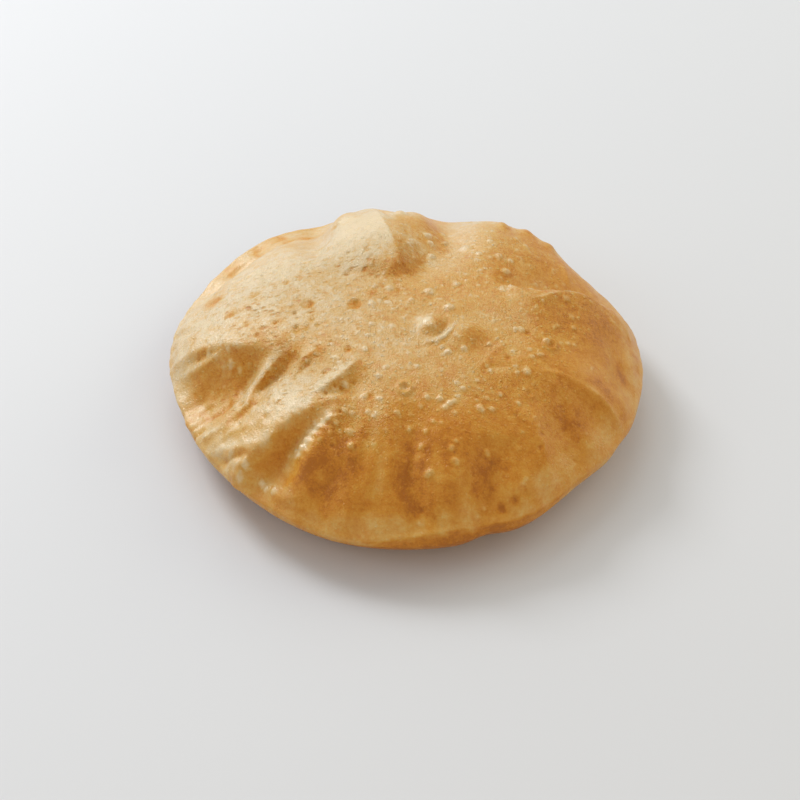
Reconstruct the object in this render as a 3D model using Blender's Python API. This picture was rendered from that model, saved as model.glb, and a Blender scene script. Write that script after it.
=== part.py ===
"""Puri: a round of fried dough, puffed up into an uneven cushion that rests on a flat spot."""
import math

import bmesh
import bpy
import numpy as np

MM = 0.001

# Overall sizes, in millimetres
RIM_RADIUS = 68.4
RIM_HEIGHT = 11.6
DOME_RISE = 25.0
DOME_SHOULDER = 2.6
DOME_EDGE = 0.70
FLAT_SPOT = 27.0
CELLS = 30
RIM_POLAR = math.radians(120.0)

# Rim swells: where round the rim, how wide in degrees, how far out, how far up
RIM_SWELLS = (
    (130, 26, 3.2, 4.4),
    (168, 16, 2.0, 0.8),
    (197, 9, -0.7, 0.0),
    (100, 16, 0.8, 2.0),
    (12, 20, 1.8, 0.4),
    (220, 26, -2.6, 0.0),
    (252, 12, -0.1, -0.6),
    (274, 9, 0.1, 0.3),
    (289, 4, -1.3, 1.2),
    (316, 13, -2.6, 0.6),
    (35, 12, -0.9, 0.0),
    (334, 3.5, -0.9, 0.0),
    (60, 20, 0.2, 0.5),
)

# How the dome meets the rim: where, how wide in degrees, more (flared) or less (bulging)
EDGE_SWELLS = (
    (132, 34, 0.42),
    (200, 30, 0.10),
    (265, 40, 0.14),
    (45, 34, -0.05),
)

# Lobes of puffed dough: x, y, half length, half width, turn in degrees, rise
LOBES = (
    # Back: body of the tallest lobe, the little bump beside it, the broad lobe on the right
    (-15, 35, 19, 9, 102, 2.8),
    (3, 48, 9, 6, 90, 3.4),
    (34, 42, 16, 14, 46, 2.8),
    (21, 49, 11, 9, 80, 1.8),
    # Right: big lobe below the crease
    (46, 0, 20, 14, 8, 1.8),
    # Left: sloping slab
    (-46, 14, 22, 18, 160, 1.2),
    # Front: hanging lobes
    (-22, -56, 14, 9, 250, 1.0),
    (12, -58, 12, 8, 280, 0.9),
    (30, -54, 12, 7, 300, 0.9),
    (47, -42, 12, 8, 318, 1.0),
    (44, -38, 7, 5, 300, -1.6),
)

# Folds: start, middle and end of the crest (or trough), rise, width on its left and right
FOLDS = (
    # Left side: the crest, the deep hollow in front of it and the ridges beyond
    ((-67, -4), (-52, -7), (-30, -13), 2.4, 12, 4.5),
    ((-63, -18), (-49, -21), (-31, -14), -5.2, 9, 5),
    ((-51, -25), (-44, -19), (-35, -13), 2.4, 2.6, 3.0),
    ((-42, -22), (-36, -17), (-29, -14), -2.2, 3, 3),
    ((-31, -20), (-27, -17), (-22, -14), 0.9, 2.2, 2.2),
    ((-49, -33), (-44, -28), (-38, -22), -1.4, 2.5, 2.5),
    ((-48, -44), (-32, -38), (-14, -31), 2.4, 12, 3.5),
    ((-41, -50), (-32, -44), (-21, -36), -3.2, 3.5, 3),
    ((-34, -53), (-25, -43), (-15, -34), 1.9, 3, 3.2),
    # Front: troughs between the hanging lobes
    ((-23, -59), (-20, -54), (-15, -48), -1.3, 2.5, 4),
    ((6, -65), (2, -53), (0, -34), -2.2, 4, 5),
    ((21, -62), (23, -54), (26, -42), -2.4, 5, 4.5),
    ((40, -55), (38, -45), (34, -32), 1.4, 3.5, 3),
    # Right: the crest that ends at the notch in the rim, and the groove inside the pale rim
    ((63, -28), (50, -22), (30, -21), 1.9, 4.5, 9),
    ((62, -15), (60, -6), (55, 2), -1.2, 3, 3),
    # Right back: crease and the crest in front of it
    ((62, 20), (45, 17), (26, 14), -3.6, 3, 7),
    ((62, 15), (46, 12), (28, 9), 2.2, 9, 3.5),
    # Back: crest of the tallest lobe, its steep flank's foot, and the dip behind the plateau
    ((-11, 58), (-3, 33), (-8, 16), 4.4, 4.5, 8),
    ((13, 52), (11, 33), (-1, 15), -4.2, 7, 6),
    ((-30, 58), (-27, 42), (-27, 27), -3.0, 4.5, 5),
    ((-22, 18), (-15, 16), (-6, 13), -1.2, 3, 4),
    # Back left: groove inside the flat rim
    ((-62, 27), (-51, 43), (-32, 58), -2.6, 3.5, 4.5),
    # Plateau: the long blister's ridge and the hollow beside it
    ((-23, -29), (-18, -25), (-12, -20), 1.1, 2, 2),
    ((-18, -32), (-13, -29), (-8, -26), -0.6, 3, 3),
)

# Blisters: x, y, radius, rise
BLISTERS = (
    (7, -7, 5.2, 1.7),
    (16, -11, 6.2, 1.5),
)


def near_angle(theta, centre):
    """Degrees from one angle to another, the short way round."""
    return (np.degrees(theta) - centre + 180.0) % 360.0 - 180.0


def rim_of(theta):
    """Radius and height of the rim at an angle."""
    radius = np.full_like(theta, RIM_RADIUS)
    height = np.full_like(theta, RIM_HEIGHT)
    for centre, width, out, up in RIM_SWELLS:
        bell = np.exp(-((near_angle(theta, centre) / width) ** 2))
        radius += out * bell
        height += up * bell
    return radius, height


def edge_of(theta):
    """The power that rounds the dome's edge at an angle."""
    power = np.full_like(theta, DOME_EDGE)
    for centre, width, more in EDGE_SWELLS:
        power += more * np.exp(-((near_angle(theta, centre) / width) ** 2))
    return power


def even_run(reach, rise):
    """Share of the way along a profile, for each of its points."""
    steps = np.hypot(np.diff(reach), np.diff(rise))
    length = np.concatenate([[0.0], np.cumsum(steps)])
    return length / length[-1]


def top_reach(run):
    """Share of the radius at a share of the way down the top sheet."""
    turn = np.linspace(0.0, math.pi / 2, 400)
    reach = np.sin(turn) ** (2 / DOME_SHOULDER)
    rise = np.abs(np.cos(turn)) ** (2 * DOME_EDGE)
    return np.interp(run, even_run(reach * RIM_RADIUS, rise * DOME_RISE), reach)


def base_place(run):
    """Bottom sheet from the flat spot round to the rim: share of the radius, share of the height."""
    spot = FLAT_SPOT / RIM_RADIUS
    turn = np.linspace(0.0, math.pi / 2, 400)
    reach = np.concatenate([[0.0], spot + (1 - spot) * np.sin(turn)])
    rise = np.concatenate([[0.0], 1 - np.cos(turn)])
    share = even_run(reach * RIM_RADIUS, rise * RIM_HEIGHT)
    return np.interp(run, share, reach), np.interp(run, share, rise)


def lobe(x, y, centre_x, centre_y, length, width, turn, rise):
    angle = math.radians(turn)
    along = (x - centre_x) * math.cos(angle) + (y - centre_y) * math.sin(angle)
    across = (y - centre_y) * math.cos(angle) - (x - centre_x) * math.sin(angle)
    return rise * np.exp(-((along / length) ** 2 + (across / width) ** 2) ** 1.3)


def fold(x, y, start, middle, end, rise, left, right):
    """A ridge or trough along a bent line, fading out at both ends."""
    share = np.linspace(0.0, 1.0, 25)
    start, middle, end = (np.array(point, float) for point in (start, middle, end))
    bend = 2 * middle - (start + end) / 2
    line = ((1 - share) ** 2)[:, None] * start + (2 * share * (1 - share))[:, None] * bend
    line += (share ** 2)[:, None] * end
    run = np.gradient(line, axis=0)
    run /= np.hypot(run[:, 0], run[:, 1])[:, None]
    gap_x = x[:, None] - line[:, 0]
    gap_y = y[:, None] - line[:, 1]
    away = np.hypot(gap_x, gap_y)
    closest = away.argmin(axis=1)
    rows = np.arange(len(x))
    side = run[closest, 0] * gap_y[rows, closest] - run[closest, 1] * gap_x[rows, closest]
    width = np.where(side > 0, left, right)
    fade = np.sin(math.pi * np.clip(share[closest] * 0.9 + 0.12, 0.0, 1.0)) ** 0.5
    return rise * fade * np.exp(-((away[rows, closest] / width) ** 2))


def blister(x, y, centre_x, centre_y, radius, rise):
    away = np.hypot(x - centre_x, y - centre_y) / radius
    return rise * np.clip(1 - away ** 2, 0.0, 1.0) ** 1.5


def relief(x, y):
    """How far the top sheet stands out from the plain dome at each plan point."""
    out = np.zeros_like(x)
    for values in LOBES:
        out += lobe(x, y, *values)
    for values in FOLDS:
        out += fold(x, y, *values)
    for values in BLISTERS:
        out += blister(x, y, *values)
    return out


def plan_of(directions):
    """Plan place of each point of a unit ball, and whether it is on the top sheet."""
    polar = np.arccos(np.clip(directions[:, 2], -1.0, 1.0))
    theta = np.arctan2(directions[:, 1], directions[:, 0])
    top = polar <= RIM_POLAR
    part = np.where(top, top_reach(polar / RIM_POLAR), 0.0)
    low_part, low_rise = base_place((math.pi - polar) / (math.pi - RIM_POLAR))
    return theta, np.where(top, part, low_part), low_rise, top


def shape(directions):
    """Places points of a unit ball on the puri, in millimetres."""
    theta, part, low_rise, top = plan_of(directions)
    rim_radius, rim_height = rim_of(theta)
    power = edge_of(theta)
    inner = np.clip(1 - part ** DOME_SHOULDER, 0.0, 1.0)
    level = RIM_HEIGHT + (rim_height - RIM_HEIGHT) * part ** 2
    height = np.where(top, level + DOME_RISE * inner ** power, rim_height * low_rise)
    x = part * rim_radius * np.cos(theta)
    y = part * rim_radius * np.sin(theta)
    # Relief pushes out square to the plain dome, and dies away at the rim
    inner = np.maximum(inner, 0.02)
    slope = DOME_SHOULDER * power * DOME_RISE / RIM_RADIUS * part ** (DOME_SHOULDER - 1)
    lean = np.arctan(slope * inner ** (power - 1))
    hold = np.clip((1 - part) / 0.06, 0.0, 1.0)
    out = relief(x, y) * top * hold * hold * (3 - 2 * hold)
    x += out * np.sin(lean) * np.cos(theta)
    y += out * np.sin(lean) * np.sin(theta)
    height += out * np.cos(lean)
    return np.stack([x, y, height], axis=1)


def ball():
    """A ball of even square cells, as unit directions."""
    cells = bmesh.new()
    bmesh.ops.create_cube(cells, size=2.0)
    bmesh.ops.subdivide_edges(cells, edges=cells.edges[:], cuts=CELLS - 1, use_grid_fill=True)
    corners = np.array([vertex.co[:] for vertex in cells.verts])
    corners = np.tan(corners * math.pi / 4)
    return cells, corners / np.linalg.norm(corners, axis=1)[:, None]


def build():
    for old in list(bpy.data.objects):
        bpy.data.objects.remove(old, do_unlink=True)
    mesh = bpy.data.meshes.new("puri")
    cells, directions = ball()
    points = shape(directions)
    # The middle of the outline goes over the origin
    points[:, :2] -= (points[:, :2].min(axis=0) + points[:, :2].max(axis=0)) / 2
    for vertex, point in zip(cells.verts, points):
        vertex.co = point * MM
    bmesh.ops.recalc_face_normals(cells, faces=cells.faces[:])
    for face in cells.faces:
        face.smooth = True
    cells.to_mesh(mesh)
    cells.free()
    puri = bpy.data.objects.new("puri", mesh)
    group = bpy.data.collections.new("puri_food")
    bpy.context.scene.collection.children.link(group)
    group.objects.link(puri)
    dough = bpy.data.materials.new("fried_dough")
    dough.use_nodes = True
    shader = dough.node_tree.nodes["Principled BSDF"]
    shader.inputs["Base Color"].default_value = (0.56, 0.33, 0.12, 1.0)
    shader.inputs["Roughness"].default_value = 0.45
    shader.inputs["Metallic"].default_value = 0.0
    mesh.materials.append(dough)


build()
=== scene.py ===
"""A puri on a pale floor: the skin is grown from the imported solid, then creased, puckered and blistered."""
import math

import bpy
import numpy as np
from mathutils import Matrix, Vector, kdtree, noise


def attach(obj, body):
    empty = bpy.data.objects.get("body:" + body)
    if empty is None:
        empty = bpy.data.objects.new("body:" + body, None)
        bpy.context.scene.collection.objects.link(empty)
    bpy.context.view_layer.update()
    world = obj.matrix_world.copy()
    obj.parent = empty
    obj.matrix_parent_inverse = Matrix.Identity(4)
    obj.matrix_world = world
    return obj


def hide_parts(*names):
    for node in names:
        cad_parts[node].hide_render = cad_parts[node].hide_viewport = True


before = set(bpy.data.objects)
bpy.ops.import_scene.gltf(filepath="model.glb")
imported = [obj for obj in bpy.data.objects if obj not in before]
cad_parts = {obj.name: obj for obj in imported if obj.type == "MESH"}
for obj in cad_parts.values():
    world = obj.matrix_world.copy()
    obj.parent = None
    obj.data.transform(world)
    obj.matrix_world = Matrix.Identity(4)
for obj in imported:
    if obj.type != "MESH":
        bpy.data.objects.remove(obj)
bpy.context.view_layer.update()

MM = 0.001
DRAW = np.random.default_rng(41)

# The skin's mesh
MERGE_GAP = 0.00001
QUAD_ANGLE = math.radians(60)
SKIN_ROUNDS = 2

# Where the skin eases back into the solid's own box, in millimetres
PEAK_START, PEAK_EASE = 38.6, 0.5
RIM_LEFT, RIM_EASE = -69.7, 0.2

# Creases: how far they reach, where their ends stop fading, and how fast they fade
CREASE_REACH = 3.5
CREASE_ENDS = (0.04, 0.96)
CREASE_FADE = 0.6

# Pleats of the rim: rise everywhere and more at the left, where that is in degrees, and the
# ranges they are drawn from
PLEAT_RISE, PLEAT_MORE = 0.10, 0.36
PLEAT_TURN, PLEAT_SPREAD = 195, 40
PLEAT_START = (0.86, 0.93)
PLEAT_WIDTH = (0.9, 1.8)
PLEAT_LEAN = (-10, 10)
PLEAT_SCALE = (0.4, 1.2)
PLEAT_STEP = (2.5, 5.5)
PLEAT_SIGNS = (1, 1, -1)
PLEAT_PIVOT, PLEAT_END, PLEAT_EASE = 0.95, 1.2, 0.08

# The lip of the rim: how far out it is as a share of the rim, where it draws in (degrees, spread,
# how much), how soft and how wide it is, its rise, and the drop of the sheet under it
LIP_SHARE = 1.004
LIP_DIPS = ((279, 12, 0.023), (306, 16, 0.007))
LIP_SOFT, LIP_WIDTH = 0.008, 0.010
LIP_RISE, UNDER_DROP = 0.40, 0.35

# Relief in millimetres: how deep it is, and the size of its waves
BROAD_DEPTH, BROAD_SIZE = 0.40, 9.0
SOFT_DEPTH, SOFT_SIZE = 0.10, 3.4
BUMP_SIZE = 1.7
STREAK_DEPTH, STREAK_SIZE, STREAK_STRETCH, STREAK_TURN = 0.07, 1.6, 2.0, 35
RUMPLE_DEPTH, RUMPLE_SIZE = 0.32, 2.4
RUMPLE_TURN, RUMPLE_SPREAD, RUMPLE_BAND = 205, 32, (0.72, 1.0, 0.1)
GATHER_DEPTH, GATHER_BAND = 0.35, (0.62, 0.97, 0.1)
GATHER_FINE, GATHER_LONG, GATHER_TURN, GATHER_SPREAD = 15, 3, 262, 70

# Blisters and pits: count, least radius, mean extra radius, most radius, and rise for each
# millimetre of radius, low and high; then how round their sides are
SMALL_BLISTERS = (620, 0.62, 0.10, 1.2, 0.28, 0.5)
SMALL_PITS = (260, 0.62, 0.16, 1.3, 0.32, 0.55)
NAMED_ROUND, SMALL_ROUND, DENT_ROUND, PIT_ROUND = 1.0, 1.1, 1.6, 1.4
NAMED_LEAST, NAMED_SHARE, NAMED_RISE = 0.25, 0.72, 1.35
DENT_DEPTH, DEEPEST_PIT = 1.1, 0.75
SPREAD_OUT, SCATTER_RIM, SCATTER_TRIES = 68, 65, 12
RING_REACH, RING_LINE, RING_LINE_WIDTH = 1.6, 0.8, 0.3
RING_DIP, RING_DIP_WIDTH = 0.3, 0.45
LEAST_PEBBLED = 0.08
TOP_WET, TOP_WET_FROM, TOP_WET_CAP = 2.0, 0.1, 0.3

# How brown the skin is painted, partly its own fried colour and partly painted light and shade: the base, and
# how far each thing browns or pales the skin
# The underside is painted deep brown: partly its own colour, partly painted shade under the rim
BASE_BROWN, UNDERSIDE_BROWN_AND_SHADE = 0.575, 0.98
PATCH_SHARE, PATCH_BREAK, PATCH_BREAK_SIZE = 0.85, 0.8, 3.0
WARP_SIZE, WARP_REACH, WARP_SHIFT, TINT_WARP = 6.0, 5, 90.0, 0.25
GATHER_BROWN, GATHER_BROWN_BAND = 0.16, (0.5, 1.0, 0.2)
# Painted light and shade: paler where the skin faces the key lamp, browner where it turns away, within these
# limits
PAINTED_SHADE_AND_LIGHT, SHADE_LEVEL, SHADE_LEAST, SHADE_MOST = 0.50, 0.62, -0.17, 0.15
RIM_PALE, RIM_BAND = 0.15, (0.91, 1.2, 0.06)
# Pits browner and blister tops paler; the pale tops are partly painted highlights
PIT_BROWN, PIT_CAP, TOP_PALE, TOP_CAP = 0.55, 0.5, 0.85, 0.4
FRONT_TURN, FRONT_SPREAD = 284, 24

# Crust colours from pale (0) to deep golden brown (1)
CRUST_COLOURS = (
    (0.00, (0.74, 0.565, 0.30)),
    (0.42, (0.68, 0.395, 0.082)),
    (0.62, (0.64, 0.295, 0.031)),
    (0.82, (0.57, 0.215, 0.010)),
    (1.00, (0.43, 0.14, 0.003)),
)

# Grain too fine for the mesh: how much it pales or browns the crust (tiny blister tops paler, partly as
# painted highlights; the grain's hollows browner and its crests paler, as painted shade and light), and its
# height in millimetres
TINY_PALE, FINE_PALE, PIT_DARK, GRAIN_PAINTED_SHADE = 0.22, 0.12, 0.46, 0.11
TINY_HEIGHT, FINE_HEIGHT, PIT_HEIGHT = 0.21, 0.12, 0.32
BLOTCH_SHADE, FLECK_SHADE = 0.12, 0.11
DRAWN_OUT_TURN, DRAWN_OUT_SCALE = math.radians(-20), (520, 1150, 1150)

# Oil film and the dough's glow
OIL_IOR = 1.47
GLOW, GLOW_RADIUS = 0.12, (1.0, 0.5, 0.2)

# Camera: where it stands, how far it looks down, its lens
CAMERA_PLACE = (-0.00168, -0.3838, 0.3682)
CAMERA_TILT = 46.2
CAMERA_LENS = 80
CAMERA_SENSOR = 36

# Studio: floor and sky, then the lamps with compass turn, lift, distance, size, power and colour
FLOOR_SIZE, FLOOR_COLOUR, FLOOR_ROUGH = 6, (0.71, 0.735, 0.78, 1), 0.6
SKY_COLOUR, SKY_STRENGTH = (1.0, 0.98, 0.95, 1), 0.46
# The key lamp's compass turn and lift; the skin is also painted paler where it faces this way and browner
# where it turns away, as painted light and shade
KEY_WAY = (131, 38)
LAMPS = (
    ("key", *KEY_WAY, 1.1, 0.4, 4.8, (1.0, 1.0, 1.0)),
    ("left_fill", 192, 30, 1.2, 0.7, 1.3, (1.0, 1.0, 0.98)),
    ("softbox", 112, 42, 1.4, 1.5, 5.45, (0.98, 1.0, 1.0)),
    ("side", 30, 26, 1.2, 0.8, 3.15, (1.0, 0.94, 0.70)),
    ("bounce", 292, 30, 1.2, 1.0, 2.0, (1.0, 0.70, 0.30)),
)

# Lines that are both creased and painted with light and shade, in plan millimetres
LOBE_EDGE = ((-9.5, 53), (-8.1, 46), (-6.2, 37.6), (-4.6, 30.6), (-3.2, 25.7), (-2.3, 22.4),
    (-2.8, 18.5), (-4.9, 15.3))
SLAB_RIDGE = ((-45.5, -26.4), (-43.7, -23.2), (-41.8, -20.5), (-39.4, -16.9), (-36.9, -14.6),
    (-34.2, -12.8))
HOLLOW_RIDGE = ((-65.8, -7.2), (-62.2, -8.2), (-58.8, -9), (-56.3, -9), (-54.2, -8.6),
    (-51.2, -8.2))
SLAB_CREASE = ((-39.4, -26.2), (-43.2, -27.6), (-46.2, -29.6), (-48.6, -32.2))
RIM_PLEAT = ((-62.9, -20.6), (-59.8, -19), (-56.9, -17.9), (-53.3, -17.8))
RIM_FOLD = ((-55.4, -35), (-52, -37.2), (-48.1, -39.2), (-43.4, -41))
NOTCH_CREST = ((47.4, -22.5), (51.4, -23.7), (54.3, -24.5), (56.6, -25.5), (59, -27), (62.2, -27.2))
DOUBLE_RIDGE = ((5.6, -14.2), (8.4, -13.7), (10.9, -12), (13, -9.3), (14.2, -6.4))
BACK_CREASE = ((28.5, 12.4), (31.8, 9.9), (34.9, 7.2), (38, 5.1), (41.4, 6.9), (45.1, 9.4),
    (48.6, 10.9), (56.9, 11.4))

# Lines in plan millimetres, then rise (a trough is below zero), width on the left of the line's
# run and on its right, and sharpness (1 is a knife edge, 2 is round)
CREASES = (
    # Lip of the deep hollow on the left, the small ridge on its floor
    (((-65.7, -3.5), (-62.5, -4.2), (-57.8, -5.7), (-52.6, -6.9), (-47.2, -8.6), (-42.2, -10.1),
     (-37.5, -11.8)), 1.1, 4.2, 0.9, 1.5),
    (((-63.8, -6.2), (-60.1, -6.5), (-55.2, -6.8), (-52.5, -6.9)), -0.5, 1.2, 1.4, 1.8),
    (HOLLOW_RIDGE, 0.75, 0.8, 1.2, 1.3),
    (((-60.4, -11.8), (-54.6, -13.7), (-48.6, -14.3), (-44.2, -12.9), (-40.7, -11.7)),
     -0.7, 3.0, 4.0, 2.0),
    # Slanting ridges and pockets beyond it
    (SLAB_RIDGE, 1.3, 2.4, 2.2, 1.4),
    (((-50.5, -25), (-47, -21), (-43.2, -17.2), (-39.2, -13.8)), -1.2, 1.6, 1.4, 1.8),
    (((-46, -29.5), (-44.2, -26.6), (-42.4, -23.6)), 0.7, 1.4, 1.6, 2.0),
    (((-31, -15.4), (-34.4, -18.2), (-38, -21)), -0.4, 1.6, 2.0, 2.0),
    (((-43, -13.4), (-45.6, -17), (-47.6, -21)), -1.1, 1.6, 1.6, 2.0),
    (SLAB_CREASE, -0.6, 1.3, 1.5, 1.8),
    (((-30, -19.3), (-28.4, -18.4), (-26.5, -17), (-23.5, -14)), 0.7, 0.8, 0.9, 1.3),
    (((-31, -24.3), (-28.6, -21.9), (-25.9, -18.4)), -0.6, 1.2, 1.5, 1.8),
    # Crest of the broad slope, the trough under it, the wet ridge
    (((-45.3, -45), (-42.7, -43.6), (-39.3, -42.1), (-35.7, -40.6), (-31.7, -37.9), (-28.1, -36.2),
     (-22.9, -35.2)), 0.9, 3.0, 1.0, 1.3),
    (((-41.4, -47.3), (-38.9, -45.9), (-35.6, -43.7), (-32.5, -41.7), (-29.2, -39.4),
     (-25.6, -37.4)), 0.5, 2.0, 1.8, 2.0),
    (((-34.2, -46.1), (-32.3, -43.7), (-30.3, -41.6), (-28.1, -39.5)), -0.35, 0.8, 0.8, 1.5),
    (((-39.7, -45.9), (-36.6, -43.6), (-33.3, -41)), 0.35, 1.2, 1.2, 2.0),
    (((-31.6, -49.4), (-29.4, -47.3), (-27.9, -45), (-25.6, -42.2), (-22.2, -40), (-18.8, -38)),
     0.7, 1.4, 1.6, 1.6),
    (((-36, -53.6), (-32.6, -50.4), (-29.4, -46.8)), -1.5, 2.4, 2.6, 2.0),
    # Long blister on the plateau
    (((-24.4, -31.6), (-20.6, -28.9), (-17, -25.4), (-13.4, -21)), 1.1, 1.3, 0.8, 1.4),
    (((-22, -32.4), (-18.2, -30.2), (-13.6, -27.6)), -0.5, 1.2, 1.6, 1.8),
    # Pleats along the left rim
    (RIM_PLEAT, 0.45, 0.9, 1.1, 1.5),
    (((-56.8, -23.3), (-53.5, -23.9), (-50.6, -22.5), (-49.4, -19.3)), -0.8, 1.1, 1.2, 1.8),
    (((-61.4, -24.5), (-59.1, -23.9), (-56.9, -22.6)), 0.7, 0.7, 0.8, 1.5),
    (((-60.8, -28.4), (-58.4, -28.1), (-55, -27.8)), -0.9, 0.9, 0.9, 1.8),
    (((-57.4, -30.8), (-54.6, -30.9), (-50.4, -30.7)), 0.75, 0.8, 0.8, 1.4),
    (((-52, -34.4), (-49, -34.2), (-46.4, -33.5)), 0.6, 0.7, 0.7, 1.5),
    (RIM_FOLD, 0.95, 1.6, 0.9, 1.4),
    (((-52.6, -39.2), (-49.6, -41), (-46.2, -42.4), (-42.6, -43)), -0.7, 0.8, 0.8, 1.8),
    (((-50, -41.4), (-47, -43), (-44, -44.6)), 0.5, 1.2, 0.8, 1.5),
    (((-51.7, -39.4), (-48.2, -40.7)), 0.45, 0.7, 0.7, 1.4),
    (((-48.6, -42.3), (-46.8, -44.2), (-45, -46.1)), 0.6, 0.7, 0.8, 1.4),
    (((-67.5, 12.5), (-65.1, 10.8), (-61, 8.1)), 0.4, 0.7, 0.7, 1.5),
    (((-68.6, 11), (-64, 6.8), (-59.3, 3.9)), -0.4, 0.7, 0.7, 1.8),
    (((-68.5, 7), (-63.6, 3.4), (-58.7, 0.1)), 0.4, 0.7, 0.7, 1.5),
    (((-60, 17.4), (-57.2, 17.2), (-54.2, 18)), -0.4, 2.0, 2.4, 1.8),
    (((-51.8, 4.2), (-49.4, 4.7), (-46.8, 5.8)), -0.6, 1.0, 1.0, 1.8),
    (((-46.6, 10.1), (-43.9, 11.1), (-41.4, 12.7)), -0.7, 0.8, 0.9, 1.8),
    # Flat rim at the back left, with its hollows
    (((-61.5, 28), (-56.5, 35), (-51, 42.5), (-42, 50.5), (-33, 57)), 1.0, 2.4, 2.6, 2.0),
    (((-55.5, 36.5), (-52.5, 40), (-49.2, 43.4)), -0.5, 1.8, 1.8, 1.8),
    (((-47.9, 46.5), (-45.5, 49), (-43.2, 51)), -0.5, 1.6, 1.6, 1.8),
    (((-42.5, 52.4), (-39.5, 53.8), (-36.9, 54.6)), -0.4, 1.2, 1.2, 1.8),
    (((-32.2, 53), (-29.9, 54), (-27.4, 54.8)), -0.4, 1.3, 1.3, 1.8),
    (((-54.4, 24), (-49.1, 25), (-45.3, 27.5), (-41.5, 32)), 0.5, 0.9, 0.9, 1.4),
    (((-32.6, 25), (-28.4, 25.2), (-24.2, 26.2)), -0.5, 0.8, 0.8, 1.6),
    (((-32.2, 38), (-26.7, 35.5), (-20.1, 31)), 0.4, 0.6, 0.6, 1.4),
    # Edge of the tallest lobe
    (LOBE_EDGE, 0.9, 0.9, 2.2, 1.3),
    (((-8.8, 53), (-5.9, 46.3), (-3.5, 41)), -0.5, 0.9, 0.9, 1.8),
    # Crease between the two lobes at the back right
    (((21.5, 15.6), (25, 14.2), (28.5, 12.4), (31.8, 9.9), (34.9, 7.2), (38, 5.1), (41.4, 6.9),
     (45.1, 9.4), (48.6, 10.9), (52.6, 11.7), (56.9, 11.4), (62.7, 9.7)), 1.1, 0.8, 2.2, 1.2),
    (((30.1, 16), (34.3, 13.2), (37.9, 11), (40.9, 11.8), (44.1, 13.8), (47.2, 15.2), (52, 16.2)),
     -1.3, 2.2, 1.0, 1.6),
    (((47.7, 36.1), (48.2, 27.9), (49.1, 22.7)), 0.4, 0.8, 0.8, 1.5),
    # Fine lines in the pale rim on the right
    (((62.2, 11.3), (64, 9.6), (65.4, 7.3), (66.1, 4.4)), 0.35, 0.5, 0.5, 1.3),
    (((59.6, -2.1), (60.7, -4), (61.8, -6.2), (61.9, -9.3)), 0.3, 0.5, 0.5, 1.3),
    # Right: edge of the plateau, a beaded line, the thin crest to the notch
    (((19.9, -22.9), (21.9, -20.2), (24.3, -16.3), (27.2, -13.7), (30.9, -12.3)),
     0.25, 0.9, 1.6, 1.6),
    (((21.5, -23.3), (24.6, -21.9), (28.9, -21.2)), -0.35, 1.2, 1.4, 1.8),
    (((37.2, -21.5), (41.5, -21.3), (44.6, -21.9), (47.7, -22.4)), 0.45, 0.6, 0.6, 1.3),
    (NOTCH_CREST, 0.85, 0.7, 1.0, 1.2),
    (((46.8, -24), (49.6, -24.7), (52.5, -25.7), (54.5, -27.3)), 0.35, 0.6, 0.7, 1.3),
    # Front: dents and creases
    (((-18.4, -51.3), (-19.2, -53.4), (-21.3, -54.8), (-22.9, -56.3)), -0.4, 0.8, 0.8, 1.6),
    (((-33.6, -55.5), (-31.1, -55.9), (-28.6, -56.3)), 0.3, 0.5, 0.5, 1.3),
    (((1.3, -43.7), (2.1, -47.2), (1.3, -51.7), (0.2, -55.9), (1.5, -59.2), (3.9, -61.8),
     (6.9, -63.9), (9.3, -65.3)), -0.6, 1.0, 1.1, 1.8),
    (((-3.6, -42.6), (-3.3, -49.2), (-3.6, -55.3)), 0.3, 1.4, 1.4, 2.0),
    (((22.1, -46), (23.2, -49.2), (22.6, -53), (21.5, -56.2), (20.6, -59.4)), -0.6, 2.0, 2.0, 2.0),
    (((36.8, -39.9), (38, -45.5), (38.4, -50.6), (39.1, -53.4)), 0.3, 1.2, 1.2, 1.8),
    (((43.2, -28.3), (43.9, -33.2), (42.9, -38.5)), -0.4, 1.2, 1.2, 1.8),
    # Ridge of the double blister
    (DOUBLE_RIDGE, 0.8, 0.7, 0.8, 1.3),
    (((8.4, -11.8), (10.4, -10), (11.8, -7.4)), -0.5, 0.8, 0.8, 1.6),
    (((4.4, -10.6), (5.2, -7.8), (6.8, -5)), 0.4, 1.0, 1.8, 1.6),
    (((2.8, -14.8), (6, -15.6), (9.5, -14)), -0.4, 0.6, 0.9, 1.6),
)

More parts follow.
